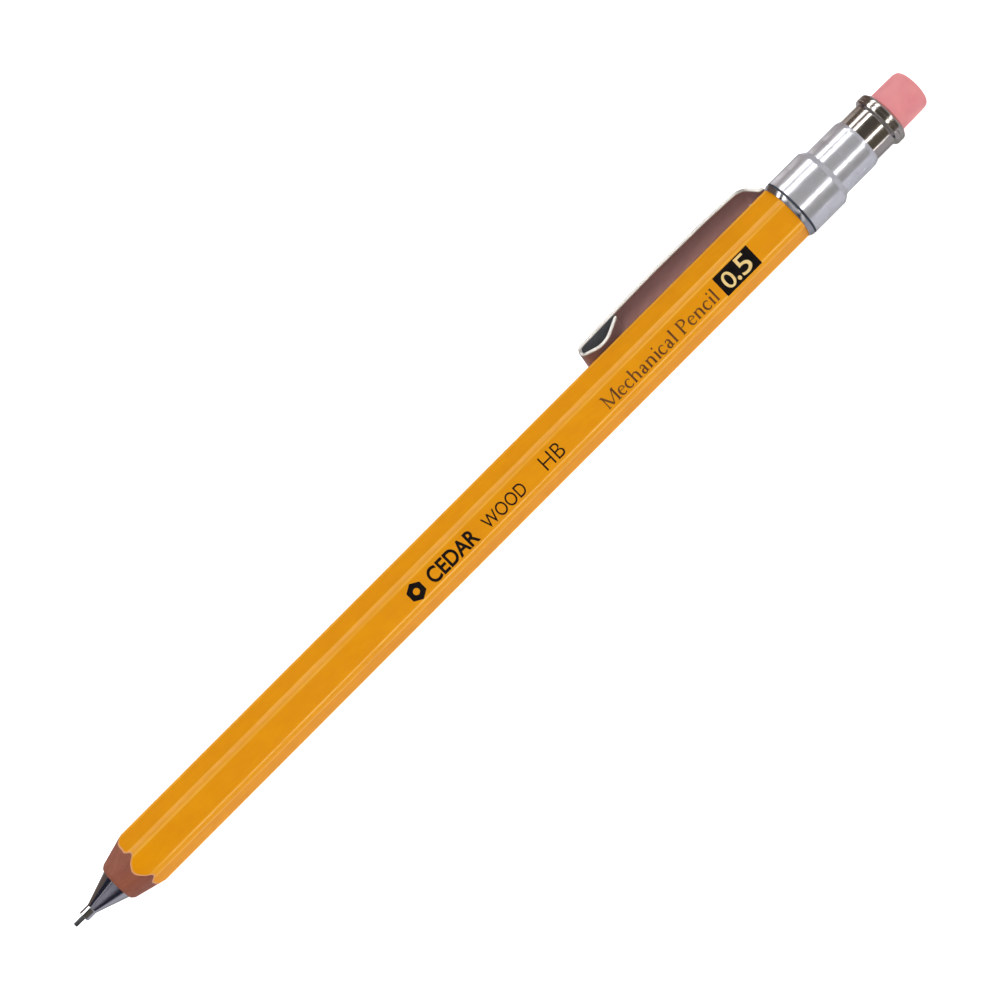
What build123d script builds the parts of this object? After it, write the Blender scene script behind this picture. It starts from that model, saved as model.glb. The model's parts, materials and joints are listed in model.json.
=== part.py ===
from build123d import *
import math
import os

# A wooden-barrelled mechanical pencil, lying on a table. Millimetres.
# Each piece is drawn in the pencil's own frame: X runs along the axis from the lead's
# point (x = 0) to the eraser, and +Z points at the clip. place() lays it on the table.

# Overall
LENGTH = 138.0
RUN_FIT = 0.04
HALF_TURN = 180.0

# Lead and metal tip
LEAD_R = 0.28
LEAD_BORE_R = 0.30
LEAD_LENGTH = 60.0
NOSE_START = 1.4
NOSE_R = 0.70
NOSE_END = 2.74
CONE_END = 6.8
CONE_END_R = 2.20
SHANK_END = 14.0
POCKET_START = 3.9
POCKET_R = 0.80
RETAINER_END = 5.5
JAW_ROOM_START = 6.2
JAW_ROOM_R = 1.45
EDGE_BREAK = 0.08

# Hexagonal barrel
BARREL_START = 7.05
BARREL_END = 116.85
ACROSS_FLATS = 6.66
CORNER_R = 0.8
FLAT_TURN = 5.0
LACQUER = 0.10
WOOD_FACE_R = 2.35
WOOD_BEVEL = 0.48
WOOD_SHOULDER_R = 2.73
SHARPEN_ANGLE = 15.3
REAR_CHAMFER = 0.4
BARREL_BORE_R = 2.25
BARREL_REACH_R = 3.95

# Inner sleeve, glued in the barrel
SLEEVE_START = 7.20
SLEEVE_END = 119.6
SLEEVE_BORE_R = 2.0

# Chuck, clutch ring and return spring
KNOCK_STROKE = 3.2
CLUTCH_TRAVEL = 0.6
CLUTCH_START = 10.5
CLUTCH_LENGTH = 2.0
CLUTCH_R = 1.58
CLUTCH_BORE_R = 1.26
CLUTCH_GAP = 0.05
JAW_COUNT = 3
JAW_START = 10.2
JAW_HEAD_END = 11.4
JAW_TAPER_END = 12.2
JAW_END = 17.55
JAW_HEAD_R = 1.17
JAW_SHANK_R = 0.80
JAW_SLOT = 0.20
CHUCK_START = 17.6
CHUCK_END = 28.6
CHUCK_R = 0.95
CHUCK_BORE_R = 0.40
SEAT_THICK = 0.5
SEAT_BORE_R = 1.15
SPRING_R = 1.45
SPRING_WIRE_R = 0.15
SPRING_TURNS = 9
SPRING_GAP = 0.02

# Lead tank and its coupling
COUPLING_START = 24.6
COUPLING_SHOULDER = 30.5
COUPLING_END = 33.0
FUNNEL_START = 31.4
FUNNEL_R = 1.2
TANK_R = 1.75
TANK_BORE_R = 1.45
TANK_END = 124.5
SPARE_START = 34.0
SPARE_COUNT = 3
SPARE_RING_R = 1.15
SPARE_STEP = 32.0

# Collar, rear sleeve, knock tube
COLLAR_START = 116.85
COLLAR_FRONT_R = 3.72
COLLAR_CONE = 0.50
COLLAR_END = 117.58
REAR_R = 3.99
REAR_WALL = 0.52
REAR_BOSS_R = 2.85
REAR_BOSS_END = 119.7
REAR_CHAMFER_START = 122.68
REAR_END = 123.45
REAR_LIP = 0.05
KNOCK_R = 3.38
KNOCK_START = 121.5
KNOCK_CHAMFER_START = 128.25
KNOCK_END = 128.78
KNOCK_FRONT_BORE_R = 3.0
KNOCK_WEB_START = 123.5
KNOCK_LIP = 0.07

# Eraser cup and eraser
CUP_R = 3.09
CUP_START = 124.7
CUP_FLOOR = 0.8
CUP_BORE_R = 2.76
BEAD_START = 131.60
BEAD_END = 133.20
BEAD_R = 3.51
LAND_R = 3.00
CUP_END = 133.35
ERASER_R = 2.74
ERASER_TAPER = 0.06
ERASER_START = 125.6
ERASER_EDGE_R = 0.9

# Spring clip, a bent steel strip over the flat at +Z: (x, height) of its centre line's corners
CLIP_THICK = 0.45
CLIP_WIDTH = 5.0
CLIP_TIP = 88.14
CLIP_TIP_CORNER_R = 0.5
CLIP_CROWN_HEIGHT = 5.74
CLIP_FOOT = (116.80, 3.74)
CLIP_FOOT_WIDTH = 3.4
CLIP_FOOT_BEND = (116.5, 3.79)
CLIP_FOOT_BEND_R = 0.3
CLIP_KNEE = (115.4, 5.33)
CLIP_KNEE_R = 0.9
CLIP_KNEE_START = 114.0
CLIP_SHOULDER = (109.5, 5.67)
CLIP_SHOULDER_R = 60.0
CLIP_CROWN = (100.0, 5.76)
CLIP_CROWN_R = 200.0
CLIP_FOLD = (85.6, 5.41)
CLIP_FOLD_R = 0.62
CLIP_BUMP = (90.93, 3.53)
CLIP_BUMP_R = 2.0
CLIP_RETURN = (94.15, 5.07)

# The pencil rests on its rear sleeve and on the clip's lower edge, which sets its roll
CLIP_OUTER = CLIP_CROWN_HEIGHT + CLIP_THICK / 2
CLIP_EDGE_REACH = math.hypot(CLIP_OUTER, CLIP_WIDTH / 2)
CLIP_ROLL = math.acos(-REAR_R / CLIP_EDGE_REACH) - math.atan2(CLIP_WIDTH / 2, CLIP_OUTER)
CLIP_SIDE_REACH = CLIP_OUTER * math.sin(CLIP_ROLL) - CLIP_WIDTH / 2 * math.cos(CLIP_ROLL)
AXIS_Y = (REAR_R - CLIP_SIDE_REACH) / 2
AXIS_Z = REAR_R


def place(solid):
    """Lays a piece from the pencil's own frame on the table, box centred on the origin."""
    turned_over = Rotation(-math.degrees(CLIP_ROLL), 0, 0) * solid
    return Pos(-LENGTH / 2, AXIS_Y, AXIS_Z) * turned_over


def save(name, shape):
    """Writes one node's STEP file."""
    export_step(place(shape), os.path.join("parts", name + ".step"))


def turned(*points):
    """A solid turned about the axis from (x, radius) points."""
    return revolve(make_face(Polyline(*points, close=True)), axis=Axis.X)


def tube(start, end, outer, inner):
    """A plain tube with small chamfers on its outer rims."""
    return turned(
        (start, inner),
        (start, outer - EDGE_BREAK),
        (start + EDGE_BREAK, outer),
        (end - EDGE_BREAK, outer),
        (end, outer - EDGE_BREAK),
        (end, inner),
    )


def hexagon(start, end, across, corner):
    """A hexagonal prism with rounded corners, one flat a few degrees round from the clip."""
    outline = RegularPolygon(across / 2, 6, major_radius=False, rotation=0)
    outline = fillet(outline.vertices(), corner)
    prism = Plane.YZ.offset(start) * extrude(outline, end - start)
    return Rotation(FLAT_TURN, 0, 0) * prism


def barrel_envelope():
    """The turned solid that sharpens the barrel's front and breaks its rear corners."""
    full_at = BARREL_START + WOOD_BEVEL
    full_at += (BARREL_REACH_R - WOOD_SHOULDER_R) / math.tan(math.radians(SHARPEN_ANGLE))
    return turned(
        (BARREL_START, BARREL_BORE_R),
        (BARREL_START, WOOD_FACE_R),
        (BARREL_START + WOOD_BEVEL, WOOD_SHOULDER_R),
        (full_at, BARREL_REACH_R),
        (BARREL_END - REAR_CHAMFER, BARREL_REACH_R),
        (BARREL_END, COLLAR_FRONT_R),
        (BARREL_END, BARREL_BORE_R),
    )


def wood_barrel():
    """Bare cedar: hexagonal, bored through, sharpened to a cone at the front."""
    core = hexagon(BARREL_START, BARREL_END, ACROSS_FLATS - 2 * LACQUER, CORNER_R - LACQUER)
    return core & barrel_envelope()


def lacquer_coat():
    """The lacquer's skin: it ends in scallops where the sharpened cone cuts the flats."""
    outside = hexagon(BARREL_START, BARREL_END, ACROSS_FLATS, CORNER_R)
    inside = hexagon(BARREL_START, BARREL_END, ACROSS_FLATS - 2 * LACQUER, CORNER_R - LACQUER)
    return (outside - inside) & barrel_envelope()


def inner_sleeve():
    """The liner tube that holds the mechanism and joins the tip to the rear fittings."""
    return turned(
        (SLEEVE_START, SLEEVE_BORE_R),
        (SLEEVE_START, BARREL_BORE_R),
        (SLEEVE_END, BARREL_BORE_R),
        (SLEEVE_END, SLEEVE_BORE_R),
    )


def tip_cone():
    """Nose pipe, cone and shank in one turned piece."""
    clutch_stop = CLUTCH_START - CLUTCH_TRAVEL - CLUTCH_GAP
    return turned(
        (NOSE_START, LEAD_BORE_R),
        (NOSE_START, NOSE_R - EDGE_BREAK),
        (NOSE_START + EDGE_BREAK, NOSE_R),
        (NOSE_END, NOSE_R),
        (CONE_END, CONE_END_R),
        (SLEEVE_START, CONE_END_R),
        (SLEEVE_START, SLEEVE_BORE_R),
        (SHANK_END, SLEEVE_BORE_R),
        (SHANK_END, CLUTCH_R + RUN_FIT),
        (clutch_stop, CLUTCH_R + RUN_FIT),
        (clutch_stop, JAW_ROOM_R),
        (JAW_ROOM_START, JAW_ROOM_R),
        (JAW_ROOM_START, POCKET_R),
        (POCKET_START, POCKET_R),
        (POCKET_START, LEAD_BORE_R),
    )


def clutch_ring():
    """The brass ring that holds the chuck's jaws shut."""
    return tube(CLUTCH_START, CLUTCH_START + CLUTCH_LENGTH, CLUTCH_R, CLUTCH_BORE_R)


def chuck_jaw(number):
    """One sector of the split chuck, with its head at the front."""
    collet = turned(
        (JAW_START, LEAD_BORE_R),
        (JAW_START, JAW_HEAD_R - EDGE_BREAK),
        (JAW_START + EDGE_BREAK, JAW_HEAD_R),
        (JAW_HEAD_END, JAW_HEAD_R),
        (JAW_TAPER_END, JAW_SHANK_R),
        (JAW_END, JAW_SHANK_R),
        (JAW_END, LEAD_BORE_R),
    )
    half_sector = HALF_TURN / JAW_COUNT
    apex = JAW_SLOT / 2 / math.sin(math.radians(half_sector))
    reach = 2 * JAW_HEAD_R
    side = reach * math.tan(math.radians(half_sector))
    sector = make_face(Polyline((0, apex), (side, apex + reach), (-side, apex + reach), close=True))
    wedge = Plane.YZ.offset(JAW_START) * extrude(sector, JAW_END - JAW_START)
    return Rotation(2 * half_sector * number, 0, 0) * (collet & wedge)


def return_spring():
    """The helical spring between the seat and the coupling."""
    start = SHANK_END + SEAT_THICK + SPRING_WIRE_R + SPRING_GAP
    end = COUPLING_START - SPRING_WIRE_R - SPRING_GAP
    coil = Helix((end - start) / SPRING_TURNS, end - start, SPRING_R)
    wire = sweep(Plane(coil @ 0, z_dir=coil % 0) * Circle(SPRING_WIRE_R), path=coil)
    return Pos(start, 0, 0) * Rotation(0, 90, 0) * wire


def tank_coupling():
    """The bush that joins the chuck to the lead tank, with a funnel for the next lead."""
    return turned(
        (COUPLING_START, CHUCK_R),
        (COUPLING_START, TANK_R - EDGE_BREAK),
        (COUPLING_START + EDGE_BREAK, TANK_R),
        (COUPLING_SHOULDER, TANK_R),
        (COUPLING_SHOULDER, TANK_BORE_R),
        (COUPLING_END, TANK_BORE_R),
        (COUPLING_END, FUNNEL_R),
        (FUNNEL_START, CHUCK_BORE_R),
        (CHUCK_END, CHUCK_BORE_R),
        (CHUCK_END, CHUCK_R),
    )


def lead_stick(start):
    """One stick of lead on the axis."""
    return turned((start, 0), (start, LEAD_R), (start + LEAD_LENGTH, LEAD_R), (start + LEAD_LENGTH, 0))


def spare_leads():
    """Spare leads lying along the bottom of the tank."""
    straight_down = HALF_TURN + math.degrees(CLIP_ROLL)
    first = straight_down - SPARE_STEP * (SPARE_COUNT - 1) / 2
    sticks = [
        Rotation(first + SPARE_STEP * i, 0, 0) * Pos(0, 0, SPARE_RING_R) * lead_stick(SPARE_START)
        for i in range(SPARE_COUNT)
    ]
    return Part() + sticks


def clip_ring():
    """The collar that carries the clip, with a conical front."""
    return turned(
        (COLLAR_START, BARREL_BORE_R),
        (COLLAR_START, COLLAR_FRONT_R),
        (COLLAR_START + COLLAR_CONE, REAR_R),
        (COLLAR_END - EDGE_BREAK, REAR_R),
        (COLLAR_END, REAR_R - EDGE_BREAK),
        (COLLAR_END, BARREL_BORE_R),
    )


def rear_sleeve():
    """The fixed aluminium sleeve that guides the knock tube."""
    wall_end = COLLAR_END + REAR_WALL
    bore = KNOCK_R + RUN_FIT
    return turned(
        (COLLAR_END, BARREL_BORE_R),
        (COLLAR_END, REAR_R - EDGE_BREAK),
        (COLLAR_END + EDGE_BREAK, REAR_R),
        (REAR_CHAMFER_START, REAR_R),
        (REAR_END, bore + REAR_LIP),
        (REAR_END, bore),
        (wall_end, bore),
        (wall_end, REAR_BOSS_R),
        (REAR_BOSS_END, REAR_BOSS_R),
        (REAR_BOSS_END, BARREL_BORE_R),
    )


def knock_tube():
    """The sliding aluminium tube, with a web that grips the lead tank."""
    cup_bore = CUP_R + RUN_FIT
    return turned(
        (KNOCK_START, KNOCK_FRONT_BORE_R),
        (KNOCK_START, KNOCK_R - EDGE_BREAK),
        (KNOCK_START + EDGE_BREAK, KNOCK_R),
        (KNOCK_CHAMFER_START, KNOCK_R),
        (KNOCK_END, cup_bore + KNOCK_LIP),
        (KNOCK_END, cup_bore),
        (TANK_END, cup_bore),
        (TANK_END, TANK_R),
        (KNOCK_WEB_START, TANK_R),
        (KNOCK_WEB_START, KNOCK_FRONT_BORE_R),
    )


def eraser_cup():
    """The drawn metal cup that holds the eraser, with a rolled bead at its mouth."""
    bead_flat = (BEAD_END - BEAD_START) / 3
    bead_rise = BEAD_R - CUP_R
    outer = Polyline(
        (BEAD_START, CUP_R),
        (CUP_START + EDGE_BREAK, CUP_R),
        (CUP_START, CUP_R - EDGE_BREAK),
        (CUP_START, 0),
        (CUP_START + CUP_FLOOR, 0),
        (CUP_START + CUP_FLOOR, CUP_BORE_R),
        (CUP_END, CUP_BORE_R),
        (CUP_END, LAND_R - EDGE_BREAK),
        (CUP_END - EDGE_BREAK, LAND_R),
        (BEAD_END, LAND_R),
    )
    crest = (BEAD_START + BEAD_END) / 2
    bead = Polyline(
        (BEAD_END, LAND_R),
        (BEAD_END, BEAD_R - 0.6 * bead_rise),
        (crest + bead_flat, BEAD_R - 0.2 * bead_rise),
        (crest + bead_flat / 2, BEAD_R),
        (crest - bead_flat / 2, BEAD_R),
        (crest - bead_flat, BEAD_R - 0.2 * bead_rise),
        (BEAD_START, CUP_R),
    )
    return revolve(make_face(outer + bead), axis=Axis.X)


def eraser():
    """The eraser plug, with a rounded end edge."""
    plug = turned(
        (ERASER_START, 0),
        (ERASER_START, ERASER_R),
        (CUP_END, ERASER_R),
        (LENGTH, ERASER_R - ERASER_TAPER),
        (LENGTH, 0),
    )
    return fillet(plug.edges().sort_by(Axis.X)[-1], ERASER_EDGE_R)


def clip_strap():
    """The clip's strip: foot, knee, arched back, nose fold and the bump that grips cloth."""
    line = FilletPolyline(
        CLIP_FOOT,
        CLIP_FOOT_BEND,
        CLIP_KNEE,
        CLIP_SHOULDER,
        CLIP_CROWN,
        CLIP_FOLD,
        CLIP_BUMP,
        CLIP_RETURN,
        radius=[
            CLIP_FOOT_BEND_R,
            CLIP_KNEE_R,
            CLIP_SHOULDER_R,
            CLIP_CROWN_R,
            CLIP_FOLD_R,
            CLIP_BUMP_R,
        ],
    )
    side_view = trace(line, CLIP_THICK)
    strip = Plane.XZ * extrude(side_view, CLIP_WIDTH / 2, both=True)
    half = CLIP_WIDTH / 2
    foot_half = CLIP_FOOT_WIDTH / 2
    plan = make_face(
        Polyline(
            (CLIP_TIP, -half),
            (CLIP_KNEE_START, -half),
            (CLIP_KNEE[0], -foot_half),
            (CLIP_FOOT[0], -foot_half),
            (CLIP_FOOT[0], foot_half),
            (CLIP_KNEE[0], foot_half),
            (CLIP_KNEE_START, half),
            (CLIP_TIP, half),
            close=True,
        )
    )
    plan = fillet(plan.vertices().group_by(Axis.X)[0], CLIP_TIP_CORNER_R)
    return strip & extrude(plan, 2 * CLIP_CROWN_HEIGHT)


os.makedirs("parts", exist_ok=True)
save("wood_barrel", wood_barrel())
save("lacquer_coat", lacquer_coat())
save("inner_sleeve", inner_sleeve())
save("tip_cone", tip_cone())
save("lead_retainer", tube(POCKET_START, RETAINER_END, POCKET_R, LEAD_BORE_R))
save("clutch_ring", clutch_ring())
for jaw in range(JAW_COUNT):
    save("chuck_jaw_" + str(jaw + 1), chuck_jaw(jaw))
save("chuck_body", tube(CHUCK_START, CHUCK_END, CHUCK_R, CHUCK_BORE_R))
save("spring_seat", tube(SHANK_END, SHANK_END + SEAT_THICK, SLEEVE_BORE_R, SEAT_BORE_R))
save("return_spring", return_spring())
save("tank_coupling", tank_coupling())
save("lead_tank", tube(COUPLING_SHOULDER, TANK_END, TANK_R, TANK_BORE_R))
save("clip_ring", clip_ring())
save("clip_strap", clip_strap())
save("rear_sleeve", rear_sleeve())
save("knock_tube", knock_tube())
save("eraser_cup", eraser_cup())
save("eraser", eraser())
save("lead", lead_stick(0))
save("spare_leads", spare_leads())
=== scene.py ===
import json
import math

import bmesh
import bpy
from mathutils import Matrix, Vector, noise


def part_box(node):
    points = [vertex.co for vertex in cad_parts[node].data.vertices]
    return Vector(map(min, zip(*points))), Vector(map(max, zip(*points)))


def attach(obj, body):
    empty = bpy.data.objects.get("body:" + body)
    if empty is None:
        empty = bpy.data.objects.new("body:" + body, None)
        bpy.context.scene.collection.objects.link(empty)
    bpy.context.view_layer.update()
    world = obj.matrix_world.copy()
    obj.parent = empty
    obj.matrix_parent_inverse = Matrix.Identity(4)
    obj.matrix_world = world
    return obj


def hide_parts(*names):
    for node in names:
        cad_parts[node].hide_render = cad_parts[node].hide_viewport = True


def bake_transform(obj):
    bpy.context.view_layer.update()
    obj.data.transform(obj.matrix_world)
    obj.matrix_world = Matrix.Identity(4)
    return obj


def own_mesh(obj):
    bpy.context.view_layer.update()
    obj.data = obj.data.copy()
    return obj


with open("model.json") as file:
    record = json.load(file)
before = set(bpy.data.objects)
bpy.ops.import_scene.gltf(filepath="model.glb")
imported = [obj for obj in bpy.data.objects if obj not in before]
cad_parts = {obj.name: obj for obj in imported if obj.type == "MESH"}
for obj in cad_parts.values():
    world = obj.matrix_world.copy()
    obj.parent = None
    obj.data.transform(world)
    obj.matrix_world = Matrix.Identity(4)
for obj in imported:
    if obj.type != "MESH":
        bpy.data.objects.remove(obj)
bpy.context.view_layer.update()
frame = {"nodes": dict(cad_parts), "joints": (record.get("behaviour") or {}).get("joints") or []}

# The pencil's own frame: x in millimetres from the lead's point along the axis, +Z at the clip.
MM = 0.001
clip_axis = next(j["axis"] for j in frame["joints"] if j["name"] == "clip_flex")
ROLL = math.atan2(-clip_axis[2], clip_axis[1])
sleeve_low, sleeve_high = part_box("rear_sleeve")
TIP_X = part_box("lead")[0].x
AXIS_Y = (sleeve_low.y + sleeve_high.y) / 2
AXIS_Z = (sleeve_low.z + sleeve_high.z) / 2
PENCIL = (
    Matrix.Translation((TIP_X, AXIS_Y, AXIS_Z))
    @ Matrix.Rotation(-ROLL, 4, "X")
    @ Matrix.Scale(MM, 4)
)


def span(node):
    """A turned node's first and last x and its largest radius, in the pencil's frame."""
    low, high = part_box(node)
    return (low.x - TIP_X) / MM, (high.x - TIP_X) / MM, (high.z - low.z) / 2 / MM


# Sizes that the boxes don't give, in millimetres; a room, seat or web is (first x, last x, radius)
LEAD_BORE_R = 0.30
NOSE_R = 0.70
NOSE_END = 2.74
CONE_R = 2.20
CONE_LAND = 0.15
RETAINER_ROOM = (3.9, 6.2, 0.8)
CHUCK_ROOM_R = 1.45
SHANK_BORE_X = 9.85
SHANK_BORE_R = 1.62
BARREL_START, BARREL_END, _ = span("wood_barrel")
ACROSS_FLATS = 6.66
CORNER_R = 0.8
COAT = 0.10
BORE_R = 2.25
WOOD_FACE_R = 2.35
WOOD_START = BARREL_START - 0.2
WOOD_BEVEL = 0.40
WOOD_SHOULDER_R = 2.66
SHARPEN_SLOPE = math.tan(math.radians(15.3))
REAR_CHAMFER = 0.4
REAR_CORNER_R = 3.72
SLEEVE_BORE_R = 2.0
COLLAR_CONE = 0.58
JOINT_DEPTH = 0.13
REAR_SLEEVE_BORE_R = 3.42
REAR_SLEEVE_SEAT = (118.1, 119.7, 2.85)
REAR_SLEEVE_GROOVE_X = 120.2
REAR_SLEEVE_CHAMFER_X = 122.68
KNOCK_FRONT_BORE_R = 3.0
KNOCK_REAR_BORE_R = 3.13
KNOCK_WEB = (123.5, 124.5, 1.75)
KNOCK_GROOVE_X = 125.6
KNOCK_CHAMFER_X = 128.25
CUP_R = 3.09
CUP_BORE_R = 2.76
CUP_BEAD = (131.55, 131.90, 132.42, 133.00, 133.30)  # rise, crest, its groove, crest, fall
CUP_FLOOR = 0.8
ERASER_EDGE_START = 133.35
FLAT_TURN = math.radians(5)
PRINTED_FLAT = FLAT_TURN + math.radians(120)


# ---------------------------------------------------------------- mesh helpers

def grid_mesh(name, rings, wrap_rings, material_rows=None):
    """A closed mesh from rings of points: quads between neighbouring rings, each ring a loop."""
    mesh = bpy.data.meshes.new(name)
    bm = bmesh.new()
    made = [[bm.verts.new(p) for p in ring] for ring in rings]
    count = len(made[0])
    last = len(made) if wrap_rings else len(made) - 1
    for i in range(last):
        a, b = made[i], made[(i + 1) % len(made)]
        for j in range(count):
            k = (j + 1) % count
            face = bm.faces.new((a[j], a[k], b[k], b[j]))
            if material_rows:
                face.material_index = material_rows(i)
    if not wrap_rings:
        bm.faces.new(list(reversed(made[0])))
        bm.faces.new(made[-1])
    bmesh.ops.remove_doubles(bm, verts=bm.verts, dist=1e-5)
    bmesh.ops.dissolve_degenerate(bm, edges=bm.edges, dist=1e-6)
    bmesh.ops.recalc_face_normals(bm, faces=bm.faces)
    bm.to_mesh(mesh)
    bm.free()
    return mesh


def add_piece(name, mesh, body, replaced, materials, sharp_angle=35, matrix=PENCIL):
    """Puts a mesh in the scene on its body, smooth shaded but for its sharp edges."""
    mesh.transform(matrix)
    piece = bpy.data.objects.new(name, mesh)
    bpy.context.scene.collection.objects.link(piece)
    for material in materials:
        mesh.materials.append(material)
    mesh.shade_smooth()
    mesh.set_sharp_from_angle(angle=math.radians(sharp_angle))
    if body:
        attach(piece, body)
    if replaced:
        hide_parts(*replaced)
    return piece


def rounded_outline(corners, steps=5, closed=True):
    """Points of a polyline whose corners (a, b, radius) are replaced by arcs."""
    points = []
    count = len(corners)
    for i, corner in enumerate(corners):
        here = Vector(corner[:2])
        radius = corner[2] if len(corner) > 2 else 0
        is_end = not closed and i in (0, count - 1)
        if radius <= 0 or is_end:
            points.append(here)
            continue
        before = (Vector(corners[i - 1][:2]) - here).normalized()
        after = (Vector(corners[(i + 1) % count][:2]) - here).normalized()
        half = before.angle(after) / 2
        centre = here + (before + after).normalized() * (radius / math.sin(half))
        reach = radius / math.tan(half)
        start = here + before * reach - centre
        sweep = start.angle_signed(here + after * reach - centre)
        for step in range(steps + 1):
            turn = Matrix.Rotation(-sweep * step / steps, 2)
            points.append(centre + turn @ start)
    return points


def lathe(name, corners, segments=144, steps=5):
    """A solid turned about the pencil's axis from a closed outline of (x, radius, rounding)."""
    outline = rounded_outline(corners, steps)
    rings = []
    for x, r in outline:
        ring = []
        for j in range(segments):
            turn = 2 * math.pi * j / segments
            ring.append(Vector((x, -r * math.sin(turn), r * math.cos(turn))))
        rings.append(ring)
    return grid_mesh(name, rings, True)


def hexagon_radius(turn, across, corner):
    """Distance from the axis to a rounded hexagon at an angle from the middle of a flat."""
    flat = math.pi / 3
    off = abs((turn - FLAT_TURN + flat / 2) % flat - flat / 2)
    apothem = across / 2
    tangent = math.atan((apothem - corner) * math.tan(flat / 2) / apothem)
    if off <= tangent:
        return apothem / math.cos(off)
    centre = (apothem - corner) / math.cos(flat / 2)
    away = flat / 2 - off
    return centre * math.cos(away) + math.sqrt(corner**2 - (centre * math.sin(away)) ** 2)


# ---------------------------------------------------------------- material helpers

class Shader:
    """A Principled material with short calls for adding the nodes that vary it."""

    def __init__(self, name):
        self.material = bpy.data.materials.new(name)
        self.material.use_nodes = True
        self.nodes = self.material.node_tree.nodes
        self.links = self.material.node_tree.links
        self.surface = next(n for n in self.nodes if n.type == "BSDF_PRINCIPLED")
        self.coords = self.node("ShaderNodeTexCoord").outputs["Object"]

    def node(self, kind, **settings):
        made = self.nodes.new(kind)
        for key, value in settings.items():
            setattr(made, key, value)
        return made

    def feed(self, socket, value):
        if isinstance(value, bpy.types.NodeSocket):
            self.links.new(value, socket)
        else:
            socket.default_value = value

    def set(self, **inputs):
        for key, value in inputs.items():
            self.feed(self.surface.inputs[key.replace("_", " ")], value)
        return self

    def noise(self, scale, detail=4.0, stretch=(1, 1, 1), rough=0.5):
        """Noise with the given features per millimetre, stretched along the axes."""
        mapping = self.node("ShaderNodeMapping")
        mapping.inputs["Scale"].default_value = [share / MM for share in stretch]
        self.feed(mapping.inputs["Vector"], self.coords)
        texture = self.node("ShaderNodeTexNoise")
        self.feed(texture.inputs["Vector"], mapping.outputs["Vector"])
        texture.inputs["Scale"].default_value = scale
        texture.inputs["Detail"].default_value = detail
        texture.inputs["Roughness"].default_value = rough
        return texture.outputs["Fac"]

    def scale_range(self, value, low, high, to_low, to_high):
        made = self.node("ShaderNodeMapRange")
        self.feed(made.inputs["Value"], value)
        made.inputs["From Min"].default_value = low
        made.inputs["From Max"].default_value = high
        made.inputs["To Min"].default_value = to_low
        made.inputs["To Max"].default_value = to_high
        return made.outputs["Result"]

    def mix(self, factor, a, b):
        made = self.node("ShaderNodeMix", data_type="RGBA")
        self.feed(made.inputs["Factor"], factor)
        self.feed(made.inputs["A"], a)
        self.feed(made.inputs["B"], b)
        return made.outputs["Result"]

    def maths(self, operation, a, b):
        made = self.node("ShaderNodeMath", operation=operation)
        self.feed(made.inputs[0], a)
        self.feed(made.inputs[1], b)
        return made.outputs[0]

    def attribute(self, name):
        return self.node("ShaderNodeAttribute", attribute_name=name).outputs["Fac"]

    def bump(self, height, strength, distance):
        """Bump in the surface, its distance in metres; calls can be stacked."""
        made = self.node("ShaderNodeBump")
        made.inputs["Strength"].default_value = strength
        made.inputs["Distance"].default_value = distance
        self.feed(made.inputs["Height"], height)
        normal = self.surface.inputs["Normal"]
        if normal.is_linked:
            self.links.new(normal.links[0].from_socket, made.inputs["Normal"])
        self.links.new(made.outputs["Normal"], normal)
        return self


def rgb(red, green, blue):
    """A linear colour from its 8-bit display values."""
    def linear(value):
        share = value / 255
        return share / 12.92 if share <= 0.04045 else ((share + 0.055) / 1.055) ** 2.4
    return (linear(red), linear(green), linear(blue), 1.0)


def lacquer_material():
    """Glossy yellow-orange lacquer: slight orange peel, and shinier where it rounds a ridge, with a
    painted highlight there: the ridge is painted paler, with two brighter painted highlight lines at its
    edges.
    """
    s = Shader("lacquer")
    drift = s.scale_range(s.noise(0.35, 3), 0.35, 0.65, 0, 1)
    tone = s.mix(drift, rgb(227, 149, 10), rgb(223, 144, 12))
    streaks = s.scale_range(s.noise(2.5, 5, (0.25, 1, 1)), 0.4, 0.7, 0, 0.3)
    cloud = s.mix(streaks, tone, rgb(217, 135, 10))
    ridge = s.attribute("ridge")
    # Painted highlight: each rounded ridge is mixed towards a paler orange.
    base = s.mix(s.maths("MULTIPLY", ridge, 0.45), cloud, rgb(236, 164, 48))
    # Painted highlight: two bright lines, of uneven strength along the axis, where each ridge's rounding
    # meets the flats.
    uneven = s.scale_range(s.noise(0.5, 4, (0.3, 1, 1)), 0.3, 0.7, 0.15, 0.65)
    line = s.maths("MULTIPLY", s.attribute("ridge_highlight_line"), uneven)
    base = s.mix(line, base, rgb(252, 196, 84))
    rough = s.scale_range(s.noise(1.6, 6), 0.3, 0.7, 0.11, 0.17)
    s.set(Base_Color=base, Roughness=rough, IOR=1.45)
    s.set(Specular_IOR_Level=s.scale_range(ridge, 0, 1, 0.10, 0.24))
    s.set(Coat_Weight=0.15, Coat_Roughness=0.08)
    s.bump(s.noise(0.9, 2, (0.35, 1, 1)), 0.06, 0.00004)
    s.bump(s.noise(9, 3), 0.03, 0.00001)
    return s.material


def primer_material():
    """The pale undercoat that shows along the cut edge of the lacquer."""
    s = Shader("primer")
    base = s.mix(s.noise(6, 4), rgb(208, 138, 84), rgb(224, 164, 112))
    s.set(Base_Color=base, Roughness=0.6)
    s.bump(s.noise(12, 4), 0.3, 0.00002)
    return s.material


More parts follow.
